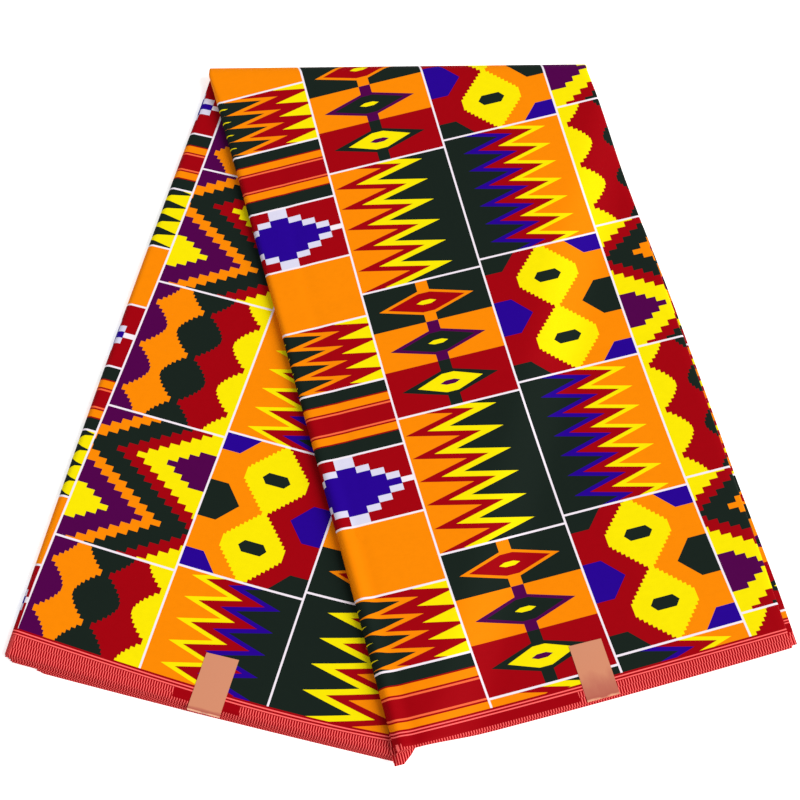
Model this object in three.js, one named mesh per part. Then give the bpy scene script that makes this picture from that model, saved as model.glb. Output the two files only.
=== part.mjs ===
// A six yard length of printed cotton, folded along its length into a flat band and laid down folded over
// once more, so that two tails splay from a rounded top fold like an upside-down V.
// Millimetres, +Z up. The cloth lies on its underside, with the top fold towards +Y.
// The origin is under the middle of the heap.

import * as THREE from 'three';

// The band: plies of cotton folded flat on each other.
const tailThickness = 9;
const plyWall = 1.2;
const seamGap = 0.3;
const coreThickness = tailThickness - plyWall - seamGap;

// Plan of the heap before it is centred: the top fold's axis, and the lower corners of both tails.
const planCentre = { x: 1.26, y: 14.38 };
const foldAxis = { left: -158, right: 154, y: 296.5 };
const tails = {
  front: { leftEnd: { x: -5, y: -267 }, rightEnd: { x: 280, y: -190 }, leftBow: 1.2, rightBow: 1, endBow: 3 },
  back: { leftEnd: { x: -281, y: -199 }, rightEnd: { x: 3, y: -274 }, leftBow: -1.2, rightBow: 0, endBow: 1 },
};

// The front tail lies on the back tail, and ramps down to the table a little past the back tail's right edge.
const frontLift = tailThickness + seamGap;
const ramp = { start: 10, width: 44 };

// Hidden plies: bundles that show as soft ridges on the sides and as steps at the ends of the tails.
const coreInset = 3.2;
const plyBundles = 4;
const ridgeDepth = 1;
const edgeSetback = 1.4;
const endStep = 0.9;
const endSetback = 0.6;
const sideReveal = { reach: 5, from: 0.3, to: 0.6, share: 0.55 };

// Folded edges of the outer ply.
const sideRoll = 4.5;
const sideRollEnd = 218;
const rightRoll = 2.4;
const tuckUnderFront = 24;

// The soft roll beside the front tail's left fold, in its lower part.
const puff = { height: 2.2, across: 6, width: 5, from: 0.45, to: 0.85 };

// Paper labels stuck over the selvedge, in each tail's own print axes: across and down from a column line.
const labelSize = { width: 23, length: 43, wall: 0.6, lip: 1.2 };
const labels = [
  { name: 'label_front', tail: 'front', fromLeft: 141, colour: 0xd88c6e },
  { name: 'label_back', tail: 'back', fromLeft: 142, colour: 0xd88c6e },
];

// How finely the sheets are divided.
const tailRows = 18;
const foldRows = 7;
const tailColumns = 22;
const backColumns = 8;
const foldPlyColumns = 14;
const rollSteps = 6;

const colours = { print: 0xd9720c, core: 0x8f0a1c, fold: 0xe07b10 };

function smoothStep(value) {
  const x = THREE.MathUtils.clamp(value, 0, 1);
  return x * x * (3 - 2 * x);
}

function mix(a, b, share) {
  return a + (b - a) * share;
}

// A point on the straight or slightly bowed side edge of a tail, t from 0 at the top fold to 1 at its end.
function sidePoint(startX, end, bow, t) {
  const along = new THREE.Vector2(end.x - startX, end.y - foldAxis.y);
  const normal = new THREE.Vector2(-along.y, along.x).normalize();
  const point = new THREE.Vector2(startX, foldAxis.y).addScaledVector(along, t);
  return point.addScaledVector(normal, 4 * bow * t * (1 - t));
}

// The row across a tail at t: where it starts, which way it runs and how wide it is.
function tailRow(tail, t) {
  const left = sidePoint(foldAxis.left, tail.leftEnd, tail.leftBow, t);
  const right = sidePoint(foldAxis.right, tail.rightEnd, tail.rightBow, t);
  const run = right.clone().sub(left);
  const width = run.length();
  return { start: left, direction: run.divideScalar(width), width };
}

// Height of what lies under the front tail: the back tail, then the ramp, then the table.
function frontBase(x, y) {
  const edge = tails.back.rightEnd;
  const along = new THREE.Vector2(edge.x - foldAxis.right, edge.y - foldAxis.y).normalize();
  const pastEdge = -(x - foldAxis.right) * along.y + (y - foldAxis.y) * along.x;
  return frontLift * (1 - smoothStep((pastEdge - ramp.start) / ramp.width));
}

// A point of a tail: t down it, across it from its left edge, and rise above its underside.
function tailPoint(name, t, across, rise) {
  const tail = tails[name];
  const row = tailRow(tail, t);
  const share = THREE.MathUtils.clamp(across / row.width, 0, 1);
  const sag = 4 * tail.endBow * share * (1 - share) * t;
  const x = row.start.x + row.direction.x * across + row.direction.y * sag;
  const y = row.start.y + row.direction.y * across - row.direction.x * sag;
  const base = name === 'front' ? frontBase(x, y) : 0;
  return new THREE.Vector3(x - planCentre.x, y - planCentre.y, base + rise);
}

// A closed solid from a box of points: columns across, levels through the thickness, rows along.
function gridSolid(columns, levels, rows, place) {
  const positions = [];
  const indices = [];
  const seen = new Map();
  const corner = (i, m, r) => {
    const key = `${i},${m},${r}`;
    if (!seen.has(key)) {
      seen.set(key, positions.length / 3);
      positions.push(...place(i, m, r).toArray());
    }
    return seen.get(key);
  };
  const quad = (a, b, c, d) => indices.push(a, b, c, a, c, d);
  for (let i = 0; i < columns; i += 1) {
    for (let r = 0; r < rows; r += 1) {
      quad(corner(i, 0, r), corner(i, 0, r + 1), corner(i + 1, 0, r + 1), corner(i + 1, 0, r));
      quad(corner(i, levels, r), corner(i + 1, levels, r), corner(i + 1, levels, r + 1), corner(i, levels, r + 1));
    }
  }
  for (let m = 0; m < levels; m += 1) {
    for (let r = 0; r < rows; r += 1) {
      quad(corner(0, m, r), corner(0, m + 1, r), corner(0, m + 1, r + 1), corner(0, m, r + 1));
      quad(corner(columns, m, r), corner(columns, m, r + 1), corner(columns, m + 1, r + 1), corner(columns, m + 1, r));
    }
    for (let i = 0; i < columns; i += 1) {
      quad(corner(i, m, 0), corner(i + 1, m, 0), corner(i + 1, m + 1, 0), corner(i, m + 1, 0));
      quad(corner(i, m, rows), corner(i, m + 1, rows), corner(i + 1, m + 1, rows), corner(i + 1, m, rows));
    }
  }
  return closedGeometry(positions, indices);
}

// The triangles are turned round where the solid would be inside out.
function closedGeometry(positions, indices) {
  const point = (index) => new THREE.Vector3().fromArray(positions, index * 3);
  let volume = 0;
  for (let k = 0; k < indices.length; k += 3) {
    volume += point(indices[k]).dot(point(indices[k + 1]).cross(point(indices[k + 2]))) / 6;
  }
  const geometry = new THREE.BufferGeometry();
  geometry.setAttribute('position', new THREE.Float32BufferAttribute(positions, 3));
  geometry.setIndex(volume < 0 ? indices.slice().reverse() : indices);
  geometry.computeVertexNormals();
  return geometry;
}

function clothMesh(name, geometry, color, roughness) {
  const mesh = new THREE.Mesh(geometry, new THREE.MeshStandardMaterial({ color, roughness, metalness: 0 }));
  mesh.name = name;
  return mesh;
}

// The hidden plies are one folded band: back tail, rounded top fold, front tail.
function hiddenPlies() {
  const levels = plyBundles * 2;
  const rows = tailRows * 2 + foldRows + 1;
  const frontStart = tailRows + foldRows + 1;
  const innerRadius = (frontLift - coreThickness) / 2;
  const axisHeight = coreThickness + innerRadius;
  const ridge = (m) => (m % 2 === 1 ? ridgeDepth : 0) - (m === 0 || m === levels ? edgeSetback : 0);
  return gridSolid(tailColumns, levels, rows, (i, m, r) => {
    const depth = (coreThickness * m) / levels;
    const share = i / tailColumns;
    if (r > tailRows && r < frontStart) {
      const turn = (Math.PI * (r - tailRows)) / (foldRows + 1);
      const radius = innerRadius + depth;
      const left = foldAxis.left + coreInset - ridge(m);
      const right = foldAxis.right - coreInset + ridge(m);
      const y = foldAxis.y + radius * Math.sin(turn);
      const z = axisHeight - radius * Math.cos(turn);
      return new THREE.Vector3(mix(left, right, share) - planCentre.x, y - planCentre.y, z);
    }
    const name = r <= tailRows ? 'back' : 'front';
    const t = name === 'back' ? 1 - r / tailRows : (r - frontStart) / tailRows;
    const rise = name === 'back' ? coreThickness - depth : depth;
    const riseShare = rise / coreThickness;
    const row = tailRow(tails[name], t);
    let reveal = 0;
    if (name === 'front' && riseShare > 0 && riseShare < sideReveal.share) {
      reveal = sideReveal.reach * smoothStep((t - sideReveal.from) / (sideReveal.to - sideReveal.from));
    }
    const left = coreInset - ridge(m);
    const right = row.width - coreInset + ridge(m) + reveal;
    const step = ridge(m) + endStep * plyBundles * (1 - riseShare) - endSetback;
    const length = foldAxis.y - tails[name].leftEnd.y;
    const reach = r === 0 || r === rows ? step / length : 0;
    const across = i === 0 ? left : i === tailColumns ? right : row.width * share;
    return tailPoint(name, t + reach, across, rise);
  });
}

// Places of the outer ply across a tail: its rolled left edge, its flat top and its turned-down right edge.
function rollPlaces(endAngle, radius, steps) {
  const places = [];
  for (let k = 0; k <= steps; k += 1) {
    const angle = THREE.MathUtils.degToRad(mix(endAngle, 90, k / steps));
    const normal = new THREE.Vector2(Math.cos(angle), Math.sin(angle));
    places.push({ point: normal.clone().multiplyScalar(radius), normal });
  }
  return places;
}

// The puffed roll of the front tail's left edge.
function puffAt(across, t) {
  const bump = Math.exp(-(((across - puff.across) / puff.width) ** 2));
  return puff.height * bump * smoothStep((t - puff.from) / (puff.to - puff.from));
}

// The outer ply of a tail, as a wall that follows the tail and rolls round its edges.
function outerPly(name, columns, rightPlaces, widthAt, firstRow) {
  const leftRoll = rollPlaces(sideRollEnd, sideRoll, rollSteps).slice(0, -1);
  const place = (i, m, r) => {
    const t = mix(firstRow, 1, r / tailRows);
    const width = widthAt(t);
    let across;
    let rise;
    let normal = new THREE.Vector2(0, 1);
    if (i < leftRoll.length) {
      const entry = leftRoll[i];
      across = sideRoll + entry.point.x;
      rise = tailThickness - sideRoll + entry.point.y;
      normal = entry.normal;
    } else if (i <= leftRoll.length + columns) {
      const share = (i - leftRoll.length) / columns;
      across = Math.max(width * share, sideRoll);
      across = Math.min(across, width - (rightPlaces.length ? coreInset + edgeSetback : 0));
      rise = tailThickness;
    } else {
      const entry = rightPlaces[i - leftRoll.length - columns - 1];
      across = width - rightRoll - entry.point.x;
      rise = tailThickness - rightRoll + entry.point.y;
      normal = new THREE.Vector2(-entry.normal.x, entry.normal.y);
    }
    const inward = m === 0 ? plyWall : 0;
    const lifted = name === 'front' ? puffAt(across, t) : 0;
    return tailPoint(name, t, across - normal.x * inward, rise - normal.y * inward + lifted);
  };
  return gridSolid(leftRoll.length + columns + rightPlaces.length, 1, tailRows, place);
}

function frontPly() {
  const rightPlaces = rollPlaces(180, rightRoll, 3).reverse();
  const start = seamGap / 500;
  return outerPly('front', tailColumns, rightPlaces, (t) => tailRow(tails.front, t).width, start);
}

// The back tail's ply shows beside the front tail, and is tucked a little way under it.
function backPly() {
  const widthAt = (t) => {
    const row = tailRow(tails.back, t);
    const fold = sidePoint(foldAxis.left, tails.front.leftEnd, tails.front.leftBow, t);
    const tucked = fold.sub(row.start).dot(row.direction) + tuckUnderFront;
    return Math.min(tucked, row.width - coreInset);
  };
  return outerPly('back', backColumns, [], widthAt, 0.02);
}

// The outer ply's stretch over the top fold, from the front tail's top round to the table.
function topFoldPly() {
  const innerRadius = (frontLift - coreThickness) / 2;
  const axisHeight = coreThickness + innerRadius;
  const inner = innerRadius + coreThickness + seamGap;
  const lowest = Math.acos((axisHeight - seamGap) / (inner + plyWall));
  const steps = 9;
  return gridSolid(foldPlyColumns, 1, steps, (i, m, r) => {
    const turn = mix(lowest, Math.PI, r / steps);
    const radius = m === 0 ? inner : inner + plyWall;
    const x = mix(foldAxis.left, foldAxis.right, i / foldPlyColumns);
    const y = foldAxis.y + radius * Math.sin(turn);
    return new THREE.Vector3(x - planCentre.x, y - planCentre.y, axisHeight - radius * Math.cos(turn));
  });
}

// A label is a thin plate on the ply's own points, moved out, whose lower end turns down over the edge.
function label(entry) {
  const columns = 4;
  const rows = 6;
  const tail = tails[entry.tail];
  const length = foldAxis.y - (tail.leftEnd.y + tail.rightEnd.y) / 2;
  return gridSolid(columns, 1, rows, (i, m, r) => {
    const across = entry.fromLeft + (labelSize.width * i) / columns;
    const out = seamGap + (m === 0 ? 0 : labelSize.wall);
    const turned = r === rows;
    const down = turned ? out : -labelSize.length + ((labelSize.length + out) * r) / (rows - 1);
    const rise = tailThickness + (turned ? -labelSize.lip : out);
    return tailPoint(entry.tail, 1 + down / length, across, rise);
  });
}

const cloth = new THREE.Group();
cloth.add(clothMesh('hidden_plies', hiddenPlies(), colours.core, 0.9));
cloth.add(clothMesh('back_tail_ply', backPly(), colours.print, 0.75));
cloth.add(clothMesh('front_tail_ply', frontPly(), colours.print, 0.75));
cloth.add(clothMesh('top_fold_ply', topFoldPly(), colours.fold, 0.75));
for (const entry of labels) {
  cloth.add(clothMesh(entry.name, label(entry), entry.colour, 0.5));
}

export default cloth;
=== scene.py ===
"""A folded length of wax print cotton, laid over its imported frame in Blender 4.5.

One six yard length of cotton is folded along its length into a flat band, and the band is laid down folded
over once more, so that a front tail and a back tail splay from a rounded top fold. Sizes are in millimetres
until a mesh is made. The file is laid out as an add-on and is run as a script.
"""

import math
from collections import namedtuple

import bmesh
import bpy
from bpy.props import FloatProperty, FloatVectorProperty, PointerProperty
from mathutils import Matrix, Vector


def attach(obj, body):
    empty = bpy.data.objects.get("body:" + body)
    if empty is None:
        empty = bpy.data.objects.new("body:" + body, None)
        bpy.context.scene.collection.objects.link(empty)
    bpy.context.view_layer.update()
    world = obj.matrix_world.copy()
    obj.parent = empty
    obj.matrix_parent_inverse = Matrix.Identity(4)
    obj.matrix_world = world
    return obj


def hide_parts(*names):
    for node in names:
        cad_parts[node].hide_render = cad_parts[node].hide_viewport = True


bl_info = {
    "name": "Folded wax print cloth",
    "version": (1, 0, 0),
    "blender": (4, 5, 0),
    "location": "3D View > Sidebar > Wax cloth",
    "description": "Builds the plies, labels and studio of a folded length of wax print cotton",
    "category": "Object",
}

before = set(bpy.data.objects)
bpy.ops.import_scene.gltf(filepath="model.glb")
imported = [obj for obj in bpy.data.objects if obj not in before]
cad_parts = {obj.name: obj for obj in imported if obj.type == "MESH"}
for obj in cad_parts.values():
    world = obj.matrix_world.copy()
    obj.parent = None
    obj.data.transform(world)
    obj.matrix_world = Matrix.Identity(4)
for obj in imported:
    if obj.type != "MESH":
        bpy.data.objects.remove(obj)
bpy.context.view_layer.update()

MM = 0.001

# The heap's plan: the axis of its top fold, and the lower corners of both tails.
PLAN_CENTRE = Vector((1.26, 14.38))
FOLD_LEFT = Vector((-158.0, 295.7))
FOLD_RIGHT = Vector((154.8, 299.8))
FOLD_WIDTH = FOLD_RIGHT.x - FOLD_LEFT.x
TAILS = {
    "front": {
        "left_end": Vector((-3.3, -272.8)),
        "right_end": Vector((281.0, -194.2)),
        "left_bow": 1.2,
        "right_bow": 2.4,
        "end_bow": 1.6,
    },
    "back": {
        "left_end": Vector((-283.0, -199.0)),
        "right_end": Vector((0.5, -274.0)),
        "left_bow": -2.2,
        "right_bow": 0.0,
        "end_bow": 1.0,
    },
}

# The band is 9 mm thick, and the front tail ramps down past the back tail's right edge.
BAND_THICKNESS = 9.0
TAIL_GAP = 0.3
RAMP_START = 10.0
RAMP_WIDTH = 44.0
SIDE_ROLL = BAND_THICKNESS / 2
SIDE_ARC = math.pi * SIDE_ROLL / 2

# The side fold is pressed nearly flat for a short run on each side of the top fold.
PRESSED_ROLL = 0.8
PRESSED_RUN = 0.06

# Tail lengths, in millimetres: for spacing rows, at the ends of the plies, and where the labels lie.
TAIL_LENGTH = 565.0
END_LENGTH = 560.0
LABEL_TAIL_LENGTH = 545.0
END_PART = 0.1

# Rows of points, in millimetres apart along the band, and how many go round the top fold.
OUTER_ROW_STEP = 4.5
INNER_ROW_STEP = 9.0
FOLD_ROWS = 12

# Columns of points across the outer ply: round the side fold, close beside it, over the rest and round its
# turned edge.
ROLL_COLUMNS = 5
CLOSE_COLUMNS = 13
CLOSE_WIDTH = 30.0
FLAT_COLUMNS = 54
EDGE_COLUMNS = 4
EDGE_TURN = 2.4

# How far the outer ply's lower side reaches past each tail's end, and past the back tail's left corner. The
# plies under the back tail stick out less towards the right.
FRONT_LOWER_REACH = -4.6
BACK_LOWER_REACH = 4.6
BACK_CORNER_REACH = -2.0
BACK_CORNER_WIDTH = 25.0
BACK_CORNER_STEP = 4.0
BACK_REACH_FADE = 0.72

# The print was measured on each tail where sight lines from the camera meet a plane 12 mm up.
CAMERA_PLACE = Vector((-1.26, -607.2, 1260.4))
CAMERA_AIM = Vector((-1.26, -14.38, 12.0))
PRINT_PLANE = 12.0
PRINT_AXES = {
    "front": {"corner": Vector((-64.8, 225.3)), "turn": 15.07},
    "back": {"corner": Vector((-140.7, 271.3)), "turn": -16.52},
}
BACK_PRINT_ORIGIN = Vector((-95.2, -145.1))
SIDE_FOLD_U = -69.0

# The folded cloth is a little skewed and bowed. Its print lies off the straight axes by these shifts across
# and down, in millimetres, each times powers of how far across and down the place is from the middle. The
# power of the first grows from row to row, and the power of the second along each row, both from 0.
PRINT_WAVER = {
    "front": {
        "middle": Vector((97.0, 205.0)),
        "span": Vector((150.0, 270.0)),
        "rows": (
            ((-2.11, -0.22), (-2.61, 0.22), (5.28, -1.90), (2.41, 2.35), (-0.08, 1.00)),
            ((-0.21, 0.14), (-1.03, 0.35), (1.00, -2.46), (0.11, 0.21)),
            ((-0.37, 0.37), (-0.32, -0.76), (1.65, -0.51)),
            ((-0.09, -0.16), (-0.43, 0.85)),
            ((-0.16, -0.32),),
        ),
    },
    "back": {
        "middle": Vector((-190.0, -390.0)),
        "span": Vector((150.0, 240.0)),
        "rows": (
            ((-0.57, 1.27), (-1.68, -1.43), (1.33, -1.87), (2.11, 0.59), (-0.38, -0.71)),
            ((-0.91, 0.35), (0.73, -2.79), (0.70, 0.09), (0.50, -0.57)),
            ((0.29, 0.79), (0.04, -2.06), (0.42, 0.29)),
            ((-0.38, -1.84), (0.30, 0.03)),
            ((0.12, 0.48),),
        ),
    },
}

# The plies inside the band, from its inner face to its outer face, in millimetres. The insets are from the
# band's left and right edges, and below 0 the ply shows beyond the right edge. The reaches are past the ends
# of both tails. The front corner is how much further each goes there at its left, with how far it fans out
# to the left, and the back corner is how far its left corner there is set in. Shift and drop move the print
# across and down that ply.
InnerPly = namedtuple(
    "InnerPly", "left right front_reach front_corner fan back_reach back_corner shift drop"
)
INNER_PLIES = (
    InnerPly(2.95, -4.6, -4.6, 11.5, 5.0, 0.4, 0.0, -205.0, 5.6),
    InnerPly(1.65, -4.0, -4.2, 9.0, 4.0, 0.6, 0.5, -201.0, 5.6),
    InnerPly(1.2, -3.0, -3.6, 9.5, 1.5, 0.9, 0.2, -203.0, 5.6),
    InnerPly(0.9, -4.9, -3.1, 5.0, 0.5, 1.4, 3.0, -205.0, 5.6),
    InnerPly(1.0, -0.2, -2.5, 3.5, 0.0, 2.4, 4.5, 12.0, 0.0),
    InnerPly(1.15, 0.8, -1.9, 2.0, 0.0, 2.9, 5.5, 166.0, 0.0),
    InnerPly(1.7, 0.4, -1.2, 1.0, 0.0, 4.0, 24.0, 77.0, 0.0),
    InnerPly(3.0, 1.0, -0.6, 0.0, 0.0, 4.6, 27.0, 349.0, 0.0),
)
INNER_PLY_WALL = 0.8
INNER_COLUMNS = 46
INNER_EDGE_INSET = 0.4
FULL_REVEAL = 5.0

# Where the inner plies come out from under the right edge, in two steps down the front tail, where they fan
# out and step in at the left corners, and how wide the front tail's longer corner is.
REVEAL_STEPS = ((1.12, 0.34), (1.7, 0.25))
FAN_START, FAN_RUN = 1.94, 0.06
BACK_CORNER_START, BACK_CORNER_RUN = 0.75, 0.25
FRONT_CORNER_WIDTH = 16.0
FRONT_CORNER_STEP = 9.0

# The labels: the run of the end that each lies at, how far across its left side is, how far it goes past the
# end, how much it slants, and how far its painted sheen fades to darker towards that end.
LABELS = {
    "label_front": {"end": 2.0, "across": 140.0, "past": -2.4, "slant": 0.8, "sheen_fade": 0.95},
    "label_back": {"end": -1.0, "across": 141.0, "past": 3.4, "slant": -2.2, "sheen_fade": 0.3},
}
LABEL_WIDTH = 24.0
LABEL_LENGTH = 42.0
LABEL_LIP = 1.4
LABEL_LIFT = 0.4
LABEL_CROWN = 0.12
LABEL_EDGE = 0.5
LABEL_ROWS = 12
LABEL_COLUMNS = 6
LABEL_THICKNESS = 0.3

# Tones of the label paper, by place up the label: at its ends, then from its turned edge up. They are a
# painted sheen, darker towards the lower end, and a painted highlight on the turned edge.
LABEL_TONES = (
    (0.0, (0.70, 0.32, 0.185)),
    (1.0, (0.53, 0.21, 0.115)),
    (0.07, (0.39, 0.092, 0.058)),
    (0.30, (0.43, 0.122, 0.075)),
    (0.55, (0.54, 0.205, 0.11)),
)

# Soft creases pressed into the outer ply: where each starts and ends on the print, how deep it is, or how
# high where that is below 0, and its width, in millimetres.
Crease = namedtuple("Crease", "start end depth width")
CREASES = (
    Crease((-38.0, 12.0), (-42.0, 300.0), 0.45, 5.0),
    Crease((-60.0, 140.0), (88.0, 131.0), 0.30, 5.0),
    Crease((20.0, 236.0), (228.0, 228.0), 0.35, 6.0),
    Crease((122.0, 330.0), (142.0, 470.0), -0.30, 7.0),
    Crease((-64.0, 330.0), (40.0, 346.0), 0.40, 6.0),
    Crease((-120.0, -300.0), (-126.0, -560.0), 0.45, 5.0),
    Crease((-90.0, -470.0), (-300.0, -486.0), 0.35, 6.0),
    Crease((-214.0, -500.0), (-236.0, -610.0), -0.30, 7.0),
)

DEEPEST_CREASE = 0.4
CREASE_END = 0.15

# The roll beside the front tail's side fold, and the trough inside it: how far across each lies, how wide
# both are, and the share of the tail over which they grow.
PUFF_PLACE = 6.0
TROUGH_PLACE = 15.0
PUFF_WIDTH = 5.0
PUFF_GROWTH = 0.4

# Inks of the print, by number.
INKS = ("orange", "green", "crimson", "yellow", "blue", "purple", "pale", "coral", "salmon", "lavender")
ORANGE, GREEN, CRIMSON, YELLOW, BLUE, PURPLE, PALE, CORAL, SALMON, LAVENDER = range(len(INKS))

# The repeat, in millimetres of cloth, the widths of its four columns of cells, and where each column's first
# cell starts. The first column has four short cells, and the others two long ones each.
REPEAT = Vector((384.0, 224.0))
BAND_COLUMN = 95.2
SPIKE_COLUMN = 96.8
DIAMOND_COLUMN = 97.1
WAVE_COLUMN = 94.9
BAND_START = -66.1
SPIKE_START = 25.8
DIAMOND_START = 19.9
WAVE_START = 14.2
SHORT_CELL = 56.0
LONG_CELL = 113.1
LONG_WAVE_CELL = 113.6
LINE_WIDTH = 1.6
CELL_MIDDLE = 47.4

# The selvedge: where the print ends on each tail, then places inward of that end for its thin lines, the
# start of its strokes and the starts of their next tiers. A bare place keeps only the strokes' outer ends.
FRONT_SELVEDGE = 480.0
BACK_SELVEDGE = -619.3
SELVEDGE_LINES = (1.9, 4.1)
SELVEDGE_LINE_WIDTH = 0.9
STROKES_START = 5.0
STROKE_TIERS = (9.2, 14.2)
STROKE_PITCH = 1.96
STROKE_WIDTH = 0.7
TIER_SHIFT = 0.7
STROKE_LEAN = 0.09
BARE_DEPTH = 6.7
FRONT_BARE_MIDDLE, FRONT_BARE_HALF = -4.0, 66.0
BACK_BARE_MIDDLE, BACK_BARE_HALF = -244.0, 25.0

# The studio: the floor's half size, how far it lies below the cloth, and where the soft light stands, all in
# metres, and the camera's sensor in millimetres.
FLOOR_HALF_SIZE = 3.0
FLOOR_DROP = 0.0002
KEY_PLACE = Vector((1.15, -0.4, 1.15))
SENSOR_WIDTH = 36.0


def smooth_step(value):
    """0 to 1 with soft ends, for a value that runs from 0 to 1."""
    x = min(max(value, 0.0), 1.0)
    return x * x * (3.0 - 2.0 * x)


def eased(value, start, length):
    """0 up to the start, then softly up to 1 over the length that follows it."""
    return smooth_step((value - start) / length)


def blend(a, b, share):
    """The value a share of the way from a to b."""
    return a + (b - a) * share


def side_point(start, end, bow, t):
    """A point on a tail's bowed side edge, t from 0 at the top fold to 1 at its end."""
    along = end - start
    normal = Vector((-along.y, along.x)).normalized()
    return start + along * t + normal * (4.0 * bow * t * (1.0 - t))


def tail_row(tail, t):
    """Where the row across a tail at t starts, which way it runs and how wide it is."""
    shape = TAILS[tail]
    left = side_point(FOLD_LEFT, shape["left_end"], shape["left_bow"], t)
    right = side_point(FOLD_RIGHT, shape["right_end"], shape["right_bow"], t)
    run = right - left
    return left, run.normalized(), run.length


def front_base(place):
    """Height of what lies under the front tail: the back tail, then the ramp, then the table."""
    corner = FOLD_RIGHT
    along = (TAILS["back"]["right_end"] - corner).normalized()
    offset = place - corner
    past_edge = offset.y * along.x - offset.x * along.y
    lift = BAND_THICKNESS + TAIL_GAP
    return lift * (1.0 - eased(past_edge, RAMP_START, RAMP_WIDTH))


def tail_place(tail, t, across, rise):
    """A point of a tail: t down it, across it from its left edge, and rise above its underside."""
    start, direction, width = tail_row(tail, t)
    share = min(max(across / width, 0.0), 1.0)
    sag = 4.0 * TAILS[tail]["end_bow"] * share * (1.0 - share) * t
    place = start + direction * across + Vector((direction.y, -direction.x)) * sag
    base = front_base(place) if tail == "front" else 0.0
    place -= PLAN_CENTRE
    return Vector((place.x, place.y, base + rise))


def band_width(run):
    """Width of the band at run, which is -1 at the back tail's end and 2 at the front tail's end."""
    if run <= 0.0:
        return tail_row("back", -run)[2]
    if run >= 1.0:
        return tail_row("front", run - 1.0)[2]
    return (FOLD_RIGHT - FOLD_LEFT).length


def band_place(run, across, depth):
    """A point of the band. run goes from -1 at the back tail's end through the top fold, from 0 to 1, to 2
    at the front tail's end. depth goes from 0 inside that fold to the band's thickness outside it."""
    if run <= 0.0:
        return tail_place("back", -run, across, BAND_THICKNESS - depth)
    if run >= 1.0:
        return tail_place("front", run - 1.0, across, depth)
    turn = math.pi * run
    radius = TAIL_GAP / 2 + depth
    place = FOLD_LEFT.lerp(FOLD_RIGHT, across / band_width(run)) - PLAN_CENTRE
    z = BAND_THICKNESS + TAIL_GAP / 2 - radius * math.cos(turn)
    return Vector((place.x, place.y + radius * math.sin(turn), z))


def side_fold_width(run):
    """How far the side fold bulges out. It is pressed flat where the band turns over at the top."""
    from_top = min(abs(run), abs(run - 1.0)) if not 0.0 < run < 1.0 else 0.0
    return blend(PRESSED_ROLL, SIDE_ROLL, smooth_step(from_top / PRESSED_RUN))


def reached(run, reach):
    """A run carried a few millimetres past the end of its tail, and less and less a little way up it."""
    past_top = -run if run < 0.0 else run - 1.0
    carried = eased(past_top, 1.0 - END_PART, END_PART) * reach / END_LENGTH
    return run - carried if run < 0.0 else run + carried


def straightened(tail, place):
    """A place on the straight print axes, moved to the print that really lies there."""
    waver = PRINT_WAVER[tail]
    r = (place.x - waver["middle"].x) / waver["span"].x
    s = (place.y - waver["middle"].y) / waver["span"].y
    moved = place.copy()
    for across_power, row in enumerate(waver["rows"]):
        for down_power, shift in enumerate(row):
            moved -= Vector(shift) * (r**across_power * s**down_power)
    return moved


def back_reach(reach, across):
    """How far a lower ply sticks out past the back tail's end, which is less towards the right."""
    return reach * (1.0 - BACK_REACH_FADE * across / FOLD_WIDTH)


def print_place(tail, point):
    """Where a point of a tail lies on the cloth's print, in its own millimetres."""
    sight = (CAMERA_PLACE.z - PRINT_PLANE) / (CAMERA_PLACE.z - point.z)
    seen = CAMERA_PLACE + (point - CAMERA_PLACE) * sight
    axes = PRINT_AXES[tail]
    turn = math.radians(axes["turn"])
    offset = Vector((seen.x, seen.y)) + PLAN_CENTRE - axes["corner"]
    across = offset.x * math.cos(turn) + offset.y * math.sin(turn)
    down = offset.x * math.sin(turn) - offset.y * math.cos(turn)
    place = Vector((across, down))
    return straightened(tail, place if tail == "front" else BACK_PRINT_ORIGIN - place)


def mirrored(place):
    """A place on the print on one side of the side fold, mirrored to the other side."""
    return Vector((2.0 * SIDE_FOLD_U - place.x, place.y))


def face_print(run, across):
    """The print's place on the band's outer face. The inner face has it mirrored about the side fold."""
    if run <= 0.0:
        return mirrored(print_place("back", band_place(run, across, 0.0)))
    if run >= 1.0:
        return print_place("front", band_place(run, across, BAND_THICKNESS))
    return blend(face_print(0.0, across), face_print(1.0, across), run)


def spaced(first, last, steps):
    """Places from first to last, in equal steps."""
    return [blend(first, last, k / steps) for k in range(steps + 1)]


def run_stations(row_step):
    """Runs along the whole band, from the back tail's end over the top fold to the front tail's end."""
    tail_rows = round(TAIL_LENGTH / row_step)
    back = spaced(-1.0, 0.0, tail_rows)
    fold = spaced(0.0, 1.0, FOLD_ROWS)
    front = spaced(1.0, 2.0, tail_rows)
    return back + fold[1:] + front[1:]


def outer_section(edge_roll):
    """Places across the outer ply, in millimetres from the middle of its side fold, close together there."""
    close_end = SIDE_ARC + CLOSE_WIDTH
    flat_end = SIDE_ARC + FOLD_WIDTH - SIDE_ROLL - edge_roll
    half = spaced(0.0, SIDE_ARC, ROLL_COLUMNS)
    half += spaced(SIDE_ARC, close_end, CLOSE_COLUMNS)[1:]
    half += spaced(close_end, flat_end, FLAT_COLUMNS)[1:]
    half += spaced(flat_end, flat_end + EDGE_TURN * edge_roll, EDGE_COLUMNS)[1:]
    return [-place for place in reversed(half[1:])] + half


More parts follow.
